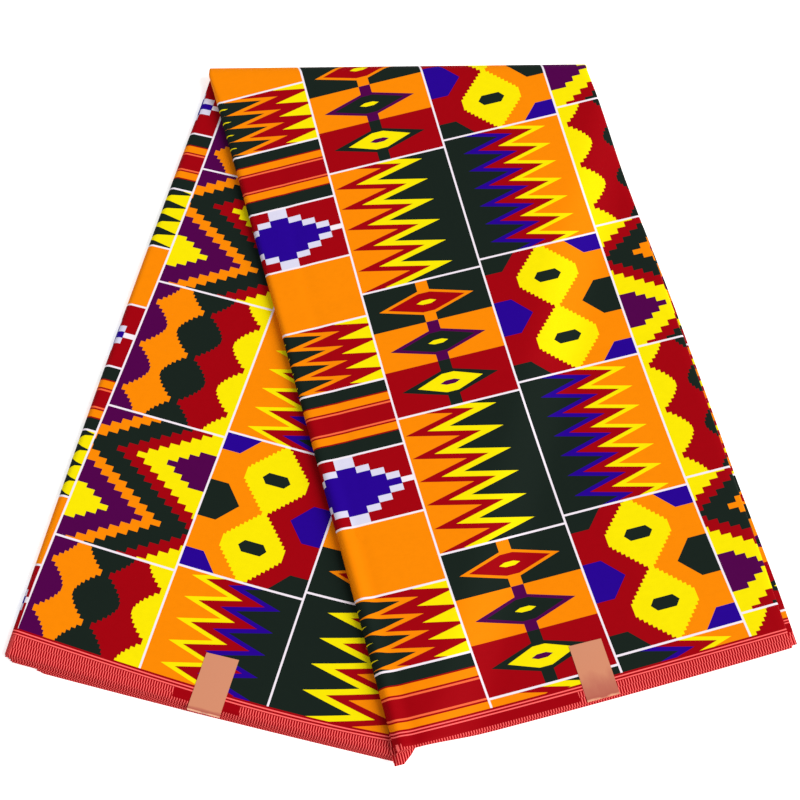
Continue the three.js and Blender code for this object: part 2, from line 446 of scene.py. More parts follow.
def outer_across(place, run, edge_roll):
    """How far across and how deep a place of the outer ply lies: round its fold, flat, round its edge."""
    reach = abs(place)
    side = 1.0 if place >= 0.0 else -1.0
    bulge = side_fold_width(run)
    if reach <= SIDE_ARC:
        angle = place / SIDE_ROLL
        return bulge * (1.0 - math.cos(angle)), SIDE_ROLL * (1.0 + math.sin(angle))
    flat = FOLD_WIDTH - SIDE_ROLL - edge_roll
    share = min((reach - SIDE_ARC) / flat, 1.0)
    across = blend(bulge, band_width(run) - edge_roll, share)
    angle = max(reach - SIDE_ARC - flat, 0.0) / edge_roll
    depth = SIDE_ROLL + side * (SIDE_ROLL - edge_roll * (1.0 - math.cos(angle)))
    return across + edge_roll * math.sin(angle), depth


def outer_print(run, place, edge_roll):
    """The print's place on the outer ply, which follows the cloth round its side fold."""
    reach = max(abs(place), SIDE_ARC)
    across = outer_across(reach, run, edge_roll)[0]
    outer = face_print(run, across)
    if abs(place) < SIDE_ARC:
        return blend(mirrored(outer), outer, 0.5 + place / (2.0 * SIDE_ARC))
    return outer if place > 0.0 else mirrored(outer)


def bump_at(value, middle, width):
    """1 at the middle, fading smoothly to 0 on both sides of it."""
    return math.exp(-(((value - middle) / width) ** 2))


def puff(fold, run, across):
    """Height of the soft roll beside the front tail's side fold, and of the trough inside it."""
    grown = eased(run - 1.0, fold.puff_start, PUFF_GROWTH)
    roll = bump_at(across, PUFF_PLACE, PUFF_WIDTH)
    trough = bump_at(across, TROUGH_PLACE, PUFF_WIDTH)
    return grown * (fold.puff_height * roll - fold.trough_depth * trough)


def creases(place):
    """Depth of the soft press creases at a place on the cloth's print."""
    depth = 0.0
    for crease in CREASES:
        start = Vector(crease.start)
        along = Vector(crease.end) - start
        offset = place - start
        share = offset.dot(along) / along.length_squared
        if -CREASE_END < share < 1.0 + CREASE_END:
            aside = (offset.x * along.y - offset.y * along.x) / along.length
            fade = eased(share, -CREASE_END, 2.0 * CREASE_END)
            fade *= eased(-share, -1.0 - CREASE_END, 2.0 * CREASE_END)
            depth += crease.depth * fade * bump_at(aside, 0.0, crease.width)
    return min(depth, DEEPEST_CREASE)


def sheet_mesh(columns, rows, place, cloth):
    """A flat grid whose points move to their places, with its places on the cloth kept as a UV map."""
    sheet = bmesh.new()
    bmesh.ops.create_grid(sheet, x_segments=columns, y_segments=rows, size=0.5)
    index = {v: (round((v.co.x + 0.5) * columns), round((0.5 - v.co.y) * rows)) for v in sheet.verts}
    cloth_map = sheet.loops.layers.uv.new("cloth")
    for face in sheet.faces:
        face.smooth = True
        for loop in face.loops:
            loop[cloth_map].uv = cloth(*index[loop.vert])
    for vert, (i, j) in index.items():
        vert.co = place(i, j) * MM
    return sheet


def inner_ply_mesh(fold, ply, middle, runs):
    """A double ply as a flat tube along the whole band, pressed shut at both ends."""
    flat = spaced(0.0, 1.0, INNER_COLUMNS)
    turn = [math.pi * k / 3 for k in range(1, 3)]
    ring = [(share, 1.0, 0.0) for share in flat]
    ring += [(1.0, math.cos(angle), math.sin(angle)) for angle in turn]
    ring += [(share, -1.0, 0.0) for share in reversed(flat)]
    ring += [(0.0, -math.cos(angle), -math.sin(angle)) for angle in turn]
    ring.append(ring[0])
    rows = [runs[0], *runs, runs[-1]]
    half_wall = INNER_PLY_WALL / 2

    def ring_place(i, j):
        share, level, out = ring[i]
        shut = j == 0 or j == len(rows) - 1
        return (share, 0.0, 0.0) if shut else (share, level, out)

    def edges(run):
        left = ply.left
        right = band_width(run) - max(ply.right, INNER_EDGE_INSET)
        if run > 1.0:
            shown = sum(eased(run, start, length) for start, length in REVEAL_STEPS) / len(REVEAL_STEPS)
            right += shown * max(-ply.right, 0.0) * fold.reveal / FULL_REVEAL
            left -= eased(run, FAN_START, FAN_RUN) * ply.fan
        if run < 0.0:
            left += eased(-run, BACK_CORNER_START, BACK_CORNER_RUN) * ply.back_corner
        return left, right

    def place(i, j):
        run = rows[j]
        share, level, out = ring_place(i, j)
        left, right = edges(run)
        across = blend(left, right, share) + out * half_wall
        reach = back_reach(ply.back_reach, across)
        if run > 0.0:
            corner = eased(-across, -FRONT_CORNER_WIDTH, FRONT_CORNER_STEP)
            reach = ply.front_reach + ply.front_corner * corner
        return band_place(reached(run, reach), across, middle + level * half_wall)

    def cloth(i, j):
        run = rows[j]
        share, level, out = ring_place(i, j)
        left, right = edges(run)
        on_cloth = face_print(run, blend(left, right, share))
        return Vector((on_cloth.x + ply.shift + out * half_wall, on_cloth.y + ply.drop))

    sheet = sheet_mesh(len(ring) - 1, len(rows) - 1, place, cloth)
    bmesh.ops.remove_doubles(sheet, verts=sheet.verts, dist=0.000001)
    bmesh.ops.recalc_face_normals(sheet, faces=sheet.faces)
    for face in sheet.faces:
        face.smooth = abs(face.normal.z) > 0.5
    return sheet


def label_mesh(end, across, past, slant, sheen_fade):
    """A thin plate over the selvedge at one tail's end, whose lower edge turns down over the cloth's end."""
    side = 1.0 if end > 0.0 else -1.0

    def place(i, j):
        share = i / LABEL_COLUMNS
        if j < LABEL_ROWS:
            down = LABEL_LENGTH * (j / (LABEL_ROWS - 1) - 1.0)
            lift = LABEL_LIFT + LABEL_CROWN * math.sin(math.pi * share)
        else:
            down = LABEL_EDGE
            lift = -LABEL_LIP
        depth = BAND_THICKNESS + lift if end > 0.0 else -lift
        reach = across + LABEL_WIDTH * share + slant * (1.0 + down / LABEL_LENGTH)
        return band_place(end + side * (down + past) / LABEL_TAIL_LENGTH, reach, depth)

    def paper(i, j):
        # Down the label the map runs into the painted sheen's darker tones, and the turned edge takes the
        # painted highlight.
        return (i / LABEL_COLUMNS, 1.0 - sheen_fade * j / LABEL_ROWS if j < LABEL_ROWS - 1 else 0.0)

    sheet = sheet_mesh(LABEL_COLUMNS, LABEL_ROWS, place, paper)
    for face in sheet.faces:
        face.smooth = False
    return sheet


def new_object(name, data):
    """An object in the scene, at its origin."""
    added = bpy.data.objects.new(name, data)
    bpy.context.scene.collection.objects.link(added)
    return added


def finish_piece(name, sheet, material, wall=0.0):
    """An object at the origin from a bmesh, with its wall grown inwards, riding on the cloth's one body."""
    mesh = bpy.data.meshes.new(name)
    sheet.to_mesh(mesh)
    sheet.free()
    mesh.materials.append(material)
    piece = new_object(name, mesh)
    if wall:
        solid = piece.modifiers.new("Ply thickness", "SOLIDIFY")
        solid.thickness = wall * MM
        solid.offset = -1.0
    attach(piece, "root")
    return piece


class Field:
    """A number that varies over the cloth: an output of a node tree, so that a pattern reads as sums."""

    def __init__(self, tree, socket):
        self.tree = tree
        self.socket = socket

    def math(self, operation, *values):
        """A Math node on this number and the values that follow it."""
        node = add_node(self.tree, "ShaderNodeMath")
        node.operation = operation
        for socket, value in zip(node.inputs, (self, *values)):
            connect(self.tree, value, socket)
        return Field(self.tree, node.outputs["Value"])

    def __add__(self, other):
        return self.math("ADD", other)

    def __sub__(self, other):
        return self.math("SUBTRACT", other)

    def __mul__(self, other):
        return self.math("MULTIPLY", other)

    def scaled(self, factor, added):
        """This number times a factor, plus what is added."""
        return self.math("MULTIPLY_ADD", factor, added)

    def at_least(self, limit):
        """The larger of this number and the limit."""
        return self.math("MAXIMUM", limit)

    def at_most(self, limit):
        """The smaller of this number and the limit."""
        return self.math("MINIMUM", limit)

    def above(self, limit):
        """1 where this number is above the limit, or else 0."""
        return self.math("GREATER_THAN", limit)

    def below(self, limit):
        """1 where this number is below the limit, or else 0."""
        return self.math("LESS_THAN", limit)

    def wrapped(self, period):
        """This number within one period."""
        return self.math("FLOORED_MODULO", period)

    def away_from(self, place):
        """Distance to a place, on both sides of it."""
        return (self - place).math("ABSOLUTE")

    def from_nearest(self, first, spacing):
        """Distance to the nearest of the places first, first plus spacing, and so on."""
        return (self - first).math("PINGPONG", spacing / 2.0)

    def past(self, place):
        """Distance beyond a place, and 0 before it."""
        return (self - place).at_least(0.0)

    def turned(self, whole):
        """What is left of the whole beyond this number."""
        return self.scaled(-1.0, whole)

    def stepped(self, step):
        """This number in whole steps, each rounded down."""
        return self.math("DIVIDE", step).math("FLOOR")


def add_node(tree, kind):
    """A new node of a tree, set out in rows in the order they are made."""
    count = len(tree.nodes)
    node = tree.nodes.new(kind)
    node.location = (220.0 * (count % 12), -200.0 * (count // 12))
    return node


def connect(tree, value, socket):
    """Links a field to a socket, or sets the socket to a plain value."""
    if isinstance(value, Field):
        tree.links.new(value.socket, socket)
    else:
        socket.default_value = value


def choose(mask, there, elsewhere):
    """One number where a mask is 1, and another where it is 0."""
    node = add_node(mask.tree, "ShaderNodeMix")
    node.data_type = "FLOAT"
    connect(mask.tree, mask, node.inputs[0])
    connect(mask.tree, elsewhere, node.inputs[2])
    connect(mask.tree, there, node.inputs[3])
    return Field(mask.tree, node.outputs[0])


def banded(field, first, *bands):
    """Inks in bands along a field: the first ink, then each limit with the ink beyond it."""
    ink = first
    result = first
    for limit, next_ink in zip(bands[0::2], bands[1::2]):
        result = field.above(limit).scaled(next_ink - ink, result)
        ink = next_ink
    return result


def new_group(name, inputs, outputs):
    """An empty node group, the fields of its inputs and its output node."""
    tree = bpy.data.node_groups.new(name, "ShaderNodeTree")
    for label, default in inputs:
        socket = tree.interface.new_socket(label, in_out="INPUT", socket_type="NodeSocketFloat")
        socket.default_value = default
    for label, kind in outputs:
        tree.interface.new_socket(label, in_out="OUTPUT", socket_type=kind)
    source = add_node(tree, "NodeGroupInput")
    result = add_node(tree, "NodeGroupOutput")
    result.location = (2900.0, 0.0)
    return tree, [Field(tree, source.outputs[label]) for label, _ in inputs], result


def use_group(tree, group, *values):
    """A group placed in a tree with its inputs joined up, and its node."""
    node = add_node(tree, "ShaderNodeGroup")
    node.node_tree = group
    for socket, value in zip(node.inputs, values):
        connect(tree, value, socket)
    return node


def drawn_group(draw):
    """A drawing as a node group of the same name: its ink at a place across and down it."""
    name = draw.__name__.replace("_", " ").capitalize()
    inputs = [("Across", 0.0), ("Down", 0.0)]
    tree, (across, down), result = new_group(name, inputs, [("Ink", "NodeSocketFloat")])
    connect(tree, draw(across, down), result.inputs["Ink"])
    return tree


def group_ink(group, across, down):
    """The ink of a drawn group at a place across and down it."""
    return Field(across.tree, use_group(across.tree, group, across, down).outputs["Ink"])


def spike_rows(across, down, first, pitch, length):
    """Distance across from spikes that point right, with tips at first, first plus pitch, and so on."""
    return across + down.from_nearest(first, pitch) * (length / (pitch / 2.0)) - length


def small_spikes(across, down):
    """Short spikes that point right, from dark green to yellow."""
    spikes = spike_rows(across, down, first=7.6, pitch=13.0, length=31.0)
    return banded(spikes, YELLOW, -1.8, GREEN, 26.2, ORANGE, 40.2, CRIMSON, 68.2, YELLOW)


def woven_stripes(across, down):
    """Stripes across the cell, the same from its middle up and down."""
    from_middle = down.away_from(27.4)
    return banded(from_middle, CRIMSON, 7.0, CORAL, 8.4, CRIMSON, 9.7, ORANGE, 16.0, CRIMSON, 17.0, GREEN)


def stepped_eye(across, down):
    """A blue diamond with pale stepped edges, and a pale bar out to each side."""
    box_width = 10.2
    box_step = 5.5
    box_top = 19.25
    box_bottom = 24.5
    bar_half = 2.2
    aside = across.away_from(CELL_MIDDLE)
    away = down.away_from(28.5)
    column = (aside + 2.9).stepped(box_width)
    slant = column.scaled(box_step, away)
    rim = banded(slant, BLUE, box_top, LAVENDER, box_bottom, CRIMSON)
    outside = choose(away.below(bar_half), PALE, CRIMSON)
    inside = choose(column.below(0.5) * slant.above(box_top), LAVENDER, rim)
    return choose(column.below(3.5), inside, outside)


def tall_spikes(across, down):
    """Long spikes that point right, from orange to dark green."""
    spikes = spike_rows(across, down, first=5.7, pitch=19.3, length=39.5)
    return banded(spikes, ORANGE, 2.4, CRIMSON, 19.4, YELLOW, 36.9, GREEN)


def night_spikes(across, down):
    """Long spikes that point right, from dark green to orange."""
    spikes = spike_rows(across, down, first=8.1, pitch=16.75, length=31.0)
    return banded(spikes, GREEN, 13.2, BLUE, 25.2, CRIMSON, 42.2, YELLOW, 53.2, ORANGE)


def three_lozenges(across, down):
    """Three lozenges on one post, each on its own ground."""
    second = 36.6
    third = 71.6
    post_half = 4.7
    core_half = 3.4
    core_slope = 0.39
    slope = 0.3153
    aside = across.away_from(CELL_MIDDLE)
    away = down.from_nearest(19.5, 35.6)
    beyond = aside.past(post_half)
    lozenge = beyond.scaled(slope, away)
    steepness = banded(down, slope, second, 0.336, third, 0.375)
    inside = beyond.scaled(steepness, away)
    core = aside.past(core_half).scaled(core_slope, away)
    ground = banded(down, GREEN, second, ORANGE, third, CRIMSON)
    outline = banded(down, ORANGE, second, PURPLE, third, GREEN)
    filling = banded(down, CRIMSON, second, GREEN, third, YELLOW)
    middle = banded(down, YELLOW, third, PURPLE)
    post = choose(aside.below(post_half), outline, ground)
    rim = choose(lozenge.below(10.5), outline, post)
    filled = choose(inside.below(banded(down, 8.3, third, 7.9)), filling, rim)
    return choose(core.below(1.8), middle, filled)


def serrated_diamonds(across, down):
    """Two stepped yellow diamonds between dark and blue corner blocks."""
    middle = 48.6
    diamond_height = 55.5
    tooth = 2.6
    tooth_step = 2.51
    aside = across.away_from(middle)
    away = down.from_nearest(27.2, diamond_height)
    teeth = away.stepped(tooth)
    reach = teeth.scaled(-tooth_step, 27.3).at_most(24.1).at_least(1.3)
    ground = banded(across, CRIMSON, middle, ORANGE)
    from_end = down.from_nearest(0.0, 2.0 * diamond_height)
    side = across.at_most(across.turned(DIAMOND_COLUMN))
    row = from_end.at_most(from_end.turned(diamond_height))
    block = row.scaled(0.9, side).below(28.5) * row.below(15.0)
    swapped = across.above(middle) - from_end.above(diamond_height / 2.0)
    block_ink = choose(swapped.math("ABSOLUTE"), BLUE, GREEN)
    blocks = choose(block, block_ink, ground)
    diamond = choose(aside.below(reach), YELLOW, blocks)
    seed = away.scaled(0.83, aside).below(11.0) * away.below(4.6)
    return choose(seed, GREEN, diamond)


def waving_bands(across, down):
    """Five upright bands whose stepped edges swell and shrink by turns."""
    tooth_height = 2.8
    teeth_to_narrowest = 6.5
    roundness = 1.6
    depth = 15.0
    left = across.turned(WAVE_COLUMN)
    tooth = (down.from_nearest(56.8, 39.0) + 0.3).stepped(tooth_height)
    swell = tooth.scaled(-1.0 / teeth_to_narrowest, 1.0).math("POWER", roundness) * depth
    pinched = left + swell
    swollen = left - swell
    ink = pinched.above(20.3).scaled(ORANGE - PURPLE, PURPLE)
    ink = swollen.above(28.8).scaled(GREEN - ORANGE, ink)
    ink = pinched.above(65.2).scaled(CRIMSON - GREEN, ink)
    return swollen.above(75.0).scaled(YELLOW - CRIMSON, ink)


def stepped_chevrons(across, down):
    """Nested chevrons with stepped edges, which turn at two places down the cell."""
    step_height = 4.39
    step_width = 7.05
    orange_edge = -20.0
    yellow_edge = 36.0
    left = across.turned(WAVE_COLUMN)
    away = down.from_nearest(78.7, 96.6)
    step = (away + step_height / 2.0).stepped(step_height)
    nest = step.scaled(-step_width, left)
    inner = (YELLOW, -47.5, PURPLE, orange_edge, ORANGE, -5.5, GREEN)
    outer = (20.0, CRIMSON, yellow_edge, YELLOW, 60.0, PURPLE)
    ink = banded(nest, *inner, *outer)
    outside = away.above(15.0) * nest.above(yellow_edge)
    ink = choose(outside, YELLOW, ink)
    far = away.below(34.0) * nest.below(orange_edge)
    return choose(far, PURPLE, ink)


def lines(field, places, width=LINE_WIDTH):
    """1 on the thin lines at each of some places."""
    nearest = field.away_from(places[0])
    for place in places[1:]:
        nearest = nearest.at_most(field.away_from(place))
    return nearest.below(width / 2.0)


# The three columns of long cells: how wide each is, where its first cell starts and how high that is, and
# the drawings of both its cells.
LONG_COLUMNS = (
    (SPIKE_COLUMN, SPIKE_START, LONG_CELL, tall_spikes, three_lozenges),
    (DIAMOND_COLUMN, DIAMOND_START, LONG_CELL, night_spikes, serrated_diamonds),
    (WAVE_COLUMN, WAVE_START, LONG_WAVE_CELL, waving_bands, stepped_chevrons),
)


def long_column_ink(across, down, start, split, upper, lower):
    """A column of two long cells by turns, each under its own pale line."""
    place = (down - start).wrapped(REPEAT.y)
    first = group_ink(drawn_group(upper), across, place)
    second = group_ink(drawn_group(lower), across, place - split)
    ink = choose(place.below(split), first, second)
    return choose(lines(place, (0.0, split, REPEAT.y)), PALE, ink)


def short_column_ink(across, down):
    """The column of four short cells: spikes, stripes, the stepped eye and plain orange."""
    place = (down - BAND_START).wrapped(REPEAT.y)
    ink = ORANGE
    for row, draw in ((2, stepped_eye), (1, woven_stripes), (0, small_spikes)):
        start = row * SHORT_CELL
        cell = group_ink(drawn_group(draw), across, place - start)
        ink = choose(place.below(start + SHORT_CELL), cell, ink)
    return choose(lines(place, [row * SHORT_CELL for row in range(5)]), PALE, ink)


def selvedge_ink(across, down, print_ink):
    """The crimson selvedge at each end of the print: two thin lines and three tiers of short strokes, of
    which only the outermost ends show where the selvedge is bare."""
    front = down - FRONT_SELVEDGE
    back = down.turned(BACK_SELVEDGE)
    inward = front.at_least(back)
    front_bare = across.away_from(FRONT_BARE_MIDDLE).below(FRONT_BARE_HALF) * down.above(0.0)
    back_bare = across.away_from(BACK_BARE_MIDDLE).below(BACK_BARE_HALF) * down.below(0.0)
    strokes_start = (front_bare + back_bare).scaled(BARE_DEPTH, STROKES_START)
    lean = inward.scaled(STROKE_LEAN, across)
    tiers = inward.above(STROKE_TIERS[0]) + inward.above(STROKE_TIERS[1])
    from_stroke = tiers.scaled(TIER_SHIFT, lean).from_nearest(0.0, STROKE_PITCH)
    strokes = from_stroke.below(STROKE_WIDTH / 2.0) * inward.above(strokes_start)
    salmon = strokes.at_least(lines(inward, SELVEDGE_LINES, SELVEDGE_LINE_WIDTH))
    return choose(inward.above(0.0), choose(salmon, SALMON, CRIMSON), print_ink)


def wax_print(across, down):
    """The whole print: the number of the ink at a place on the cloth, in millimetres."""
    place = (across + BAND_COLUMN).wrapped(REPEAT.x)
    ink = short_column_ink(place, down)
    column_start = BAND_COLUMN
    edges = [0.0]
    for width, first_start, split, upper, lower in LONG_COLUMNS:
        cells = long_column_ink(place - column_start, down, first_start, split, upper, lower)
        ink = choose(place.above(column_start), cells, ink)
        edges.append(column_start)
        column_start += width
    ink = choose(lines(place, (*edges, REPEAT.x)), PALE, ink)
    return selvedge_ink(across, down, ink)


def noise(across, down, detail):
    """Noise from 0 to 1 at a place that two fields give."""
    tree = across.tree
    place = add_node(tree, "ShaderNodeCombineXYZ")
    connect(tree, across, place.inputs["X"])
    connect(tree, down, place.inputs["Y"])
    texture = add_node(tree, "ShaderNodeTexNoise")
    texture.inputs["Detail"].default_value = detail
    tree.links.new(place.outputs["Vector"], texture.inputs["Vector"])
    return Field(tree, texture.outputs["Fac"])


def weave_group():
    """Plain weave as a node group: the height of its threads, and how light each place is, with streaks
    along the threads and larger cloudy patches."""
    inputs = [("Across", 0.0), ("Down", 0.0), ("Thread pitch", 0.45)]
    outputs = [("Height", "NodeSocketFloat"), ("Thread shade", "NodeSocketFloat")]
    tree, (across, down, pitch), result = new_group("Plain weave", inputs, outputs)
    warp = (across.math("DIVIDE", pitch) * math.pi).math("SINE")
    weft = (down.math("DIVIDE", pitch) * math.pi).math("SINE")
    connect(tree, (warp * weft).scaled(0.5, 0.5), result.inputs["Height"])
    streak_part = 0.45
    streaks = noise(across * 0.02, down * 1.6, 2.0) * streak_part
    shade = noise(across * 0.035, down * 0.05, 5.0).scaled(1.0 - streak_part, streaks)
    connect(tree, shade, result.inputs["Thread shade"])
    return tree


def colour_ramp(tree, amount, tones, interpolation="LINEAR"):
    """The colour that an amount picks out of tones, which are pairs of a place on the ramp and a colour."""
    ramp = add_node(tree, "ShaderNodeValToRGB")
    ramp.color_ramp.interpolation = interpolation
    stops = ramp.color_ramp.elements
    for number, (position, colour) in enumerate(tones):
        stop = stops[number] if number < 2 else stops.new(position)
        stop.position = position
        stop.color = (*colour, 1.0)
    connect(tree, amount, ramp.inputs["Fac"])
    return ramp.outputs["Color"]


def new_material(name, roughness, gloss):
    """A material with its roughness and gloss set, its node tree and its surface shader."""
    material = bpy.data.materials.new(name)
    material.use_nodes = True
    tree = material.node_tree
    surface = tree.nodes["Principled BSDF"]
    surface.inputs["Roughness"].default_value = roughness
    surface.inputs["Specular IOR Level"].default_value = gloss
    return material, tree, surface


def map_place(tree):
    """The place across and down a piece's own UV map."""
    cloth_map = add_node(tree, "ShaderNodeUVMap")
    cloth_map.uv_map = "cloth"
    split = add_node(tree, "ShaderNodeSeparateXYZ")
    tree.links.new(cloth_map.outputs["UV"], split.inputs["Vector"])
    return Field(tree, split.outputs["X"]), Field(tree, split.outputs["Y"])


def cotton_material(name, print_group, weave, inks, finish):
    """Printed cotton: its print, its plain weave and a soft waxy gloss."""
    material, tree, surface = new_material(name, finish.roughness, finish.gloss)
    across, down = map_place(tree)
    ink = group_ink(print_group, across, down)
    share = 1.0 / len(INKS)
    tones = [(number * share, getattr(inks, name)) for number, name in enumerate(INKS)]
    colour = colour_ramp(tree, ink.scaled(share, share / 2.0), tones, "CONSTANT")
    threads = use_group(tree, weave, across, down, finish.thread_pitch)
    darkest = 1.0 - finish.thread_shade / 2.0
    shade = Field(tree, threads.outputs["Thread shade"]).scaled(finish.thread_shade, darkest)
    tone = add_node(tree, "ShaderNodeVectorMath")
    tone.operation = "SCALE"
    tree.links.new(colour, tone.inputs["Vector"])
    connect(tree, shade, tone.inputs["Scale"])
    relief = add_node(tree, "ShaderNodeBump")
    relief.inputs["Distance"].default_value = finish.thread_relief
    tree.links.new(threads.outputs["Height"], relief.inputs["Height"])
    tree.links.new(tone.outputs["Vector"], surface.inputs["Base Color"])
    tree.links.new(relief.outputs["Normal"], surface.inputs["Normal"])
    return material


def label_material(name):
    """Plain coppery label paper, with a painted sheen that darkens it towards its lower end and a painted
    highlight along its turned edge.
    """
    material, tree, surface = new_material(name, roughness=0.4, gloss=0.3)
    across, down = map_place(tree)
    cloud_rate = 0.6
    cloud_shift = 0.3
    clouds = noise(across * cloud_rate, down * cloud_rate, 3.0)
    cloudy = clouds.scaled(cloud_shift, -cloud_shift / 2.0)
    tree.links.new(colour_ramp(tree, down + cloudy, LABEL_TONES), surface.inputs["Base Color"])
    return material


def floor_material(name, colour, glow):
    """Backlit white floor paper with a faint mottle."""
    material, tree, surface = new_material(name, roughness=0.9, gloss=0.0)
    surface.inputs["Emission Color"].default_value = (1.0, 1.0, 1.0, 1.0)
    surface.inputs["Emission Strength"].default_value = glow
    mottle_scale = 60.0
    darkest = 0.94
    coordinates = add_node(tree, "ShaderNodeTexCoord")
    mottle = add_node(tree, "ShaderNodeTexNoise")
    mottle.inputs["Scale"].default_value = mottle_scale
    tree.links.new(coordinates.outputs["Object"], mottle.inputs["Vector"])
    tint = add_node(tree, "ShaderNodeMix")
    tint.data_type = "RGBA"
    tint.inputs[6].default_value = (*[darkest * channel for channel in colour], 1.0)
    tint.inputs[7].default_value = (*colour, 1.0)
    tree.links.new(mottle.outputs["Fac"], tint.inputs[0])
    tree.links.new(tint.outputs[2], surface.inputs["Base Color"])
    return material


def setting(name, description, default, lowest, highest, **more):
    """A number that the user can change."""
    limits = {"min": lowest, "max": highest}
    return FloatProperty(name=name, description=description, default=default, **limits, **more)


def colour_setting(name, description, colour):
    """A colour that the user can change."""
    return FloatVectorProperty(name=name, description=description, subtype="COLOR", default=colour)


class FoldSettings(bpy.types.PropertyGroup):
    """Sizes of the folded plies."""

    ply_thickness: setting("Ply thickness", "Thickness of one ply, in millimetres", 0.35, 0.1, 0.6)
    edge_roll: setting("Edge roll", "Radius of the outer ply's turned edge, in millimetres", 2.0, 0.5, 3.0)
    puff_height: setting(
        "Puff height", "Height of the roll by the front tail's side fold, in millimetres", 2.0, 0.0, 4.0,
    )
    trough_depth: setting(
        "Trough depth", "Depth of the trough inside that roll, in millimetres", 0.5, 0.0, 1.0,
    )
    puff_start: setting("Puff start", "How far down the front tail the roll starts", 0.45, 0.0, 1.0)
    reveal: setting(
        "Reveal", "How far lower plies show beyond the front tail's right edge, in millimetres",
        5.0, 0.0, 8.0,
    )


class InkSettings(bpy.types.PropertyGroup):
    """Inks of the print."""

    orange: colour_setting("Orange", "Orange ink", (0.77, 0.2, 0.0))
    green: colour_setting("Dark green", "Dark green ink", (0.007, 0.013, 0.0095))
    crimson: colour_setting("Crimson", "Crimson ink", (0.282, 0.0, 0.003))
    yellow: colour_setting("Yellow", "Yellow ink", (0.76, 0.635, 0.0))
    blue: colour_setting("Blue", "Blue ink", (0.016, 0.0, 0.224))
    purple: colour_setting("Purple", "Purple ink", (0.064, 0.0, 0.054))
    pale: colour_setting("Pale lines", "Unprinted lines", (0.73, 0.66, 0.72))
    coral: colour_setting("Coral", "Thin coral lines", (0.78, 0.115, 0.04))
    salmon: colour_setting("Salmon", "Strokes of the selvedge", (0.90, 0.122, 0.115))
    lavender: colour_setting("Lavender", "Pale boxes", (0.57, 0.55, 0.68))


class FinishSettings(bpy.types.PropertyGroup):
    """Weave and gloss of the cotton."""

    thread_pitch: setting("Thread pitch", "Spacing of threads, in millimetres", 0.45, 0.2, 1.0)
    thread_relief: setting(
        "Thread relief", "Height of threads, in metres", 0.00004, 0.0, 0.0005, precision=6,
    )
    thread_shade: setting("Thread shade", "How much the threads vary in tone", 0.16, 0.0, 0.3)
    roughness: setting("Roughness", "Roughness of the waxed cotton", 0.6, 0.0, 1.0, subtype="FACTOR")
    gloss: setting("Gloss", "Strength of the cotton's reflection", 0.03, 0.0, 1.0, subtype="FACTOR")


class StudioSettings(bpy.types.PropertyGroup):
    """Camera, light and floor."""

    lens: setting("Lens", "Focal length, in millimetres", 82.0, 20.0, 200.0)
    floor_colour: colour_setting("Floor", "Colour of the floor", (0.9, 0.9, 0.9))
    floor_glow: setting("Floor glow", "Light given off by the backlit floor", 0.45, 0.0, 5.0)
    sky_strength: setting("Sky", "Strength of the even light from all round", 0.6, 0.0, 5.0)
    key_strength: setting("Key light", "Strength of the soft light from the right", 3.2, 0.0, 50.0)
    key_spread: setting(
        "Key spread", "How wide that light looks from the cloth", 0.7, 0.0, 3.0, subtype="ANGLE",
    )


class WAXCLOTH_OT_outer_ply(bpy.types.Operator):
    """Lays the outer ply round the whole band."""

    bl_idname = "waxcloth.outer_ply"
    bl_label = "Outer ply"

    def execute(self, context):
        fold = context.scene.wax_fold
        section = outer_section(fold.edge_roll)
        runs = run_stations(OUTER_ROW_STEP)

        def place(i, j):
            run = runs[j]
            across, depth = outer_across(section[i], run, fold.edge_roll)
            if run < 0.0:
                past_corner = eased(across, BACK_CORNER_WIDTH, BACK_CORNER_STEP)
                lowest = blend(BACK_CORNER_REACH, back_reach(BACK_LOWER_REACH, across), past_corner)
                carried = reached(run, lowest * depth / BAND_THICKNESS)
            else:
                carried = reached(run, FRONT_LOWER_REACH * (1.0 - depth / BAND_THICKNESS))
            outward = 1.0 if section[i] > 0.0 else -1.0
            if outward > 0.0:
                depth += puff(fold, run, across) * min(section[i] / SIDE_ARC, 1.0)
            if abs(section[i]) > SIDE_ARC and (outward > 0.0) == (run > 1.0):
                printed = cloth(i, j)
                depth -= outward * creases(printed if outward > 0.0 else mirrored(printed))
            return band_place(carried, across, depth)

        def cloth(i, j):
            return outer_print(runs[j], section[i], fold.edge_roll)

        sheet = sheet_mesh(len(section) - 1, len(runs) - 1, place, cloth)
        piece = finish_piece("outer_ply", sheet, cotton(context), fold.ply_thickness)
        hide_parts("front_tail_ply", "back_tail_ply", "top_fold_ply")
        return {"FINISHED"}


class WAXCLOTH_OT_inner_plies(bpy.types.Operator):
    """Lays the plies inside the band, each a folded double ply."""

    bl_idname = "waxcloth.inner_plies"
    bl_label = "Inner plies"

    def execute(self, context):
        fold = context.scene.wax_fold
        runs = run_stations(INNER_ROW_STEP)
        gap = (BAND_THICKNESS - 2.0 * fold.ply_thickness) / len(INNER_PLIES)
        for number, ply in enumerate(INNER_PLIES):
            middle = fold.ply_thickness + gap * (number + 0.5)
            sheet = inner_ply_mesh(fold, ply, middle, runs)
            piece = finish_piece(f"inner_ply_{number + 1}", sheet, cotton(context))
            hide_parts("hidden_plies")
        return {"FINISHED"}


class WAXCLOTH_OT_labels(bpy.types.Operator):
    """Sticks a plain paper label over the selvedge of each tail."""

    bl_idname = "waxcloth.labels"
    bl_label = "Labels"

    def execute(self, context):
        material = label_material("Copper label paper")
        for name, label in LABELS.items():
            sheet = label_mesh(**label)
            piece = finish_piece(name + "_paper", sheet, material, wall=LABEL_THICKNESS)
            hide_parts(name)
        return {"FINISHED"}


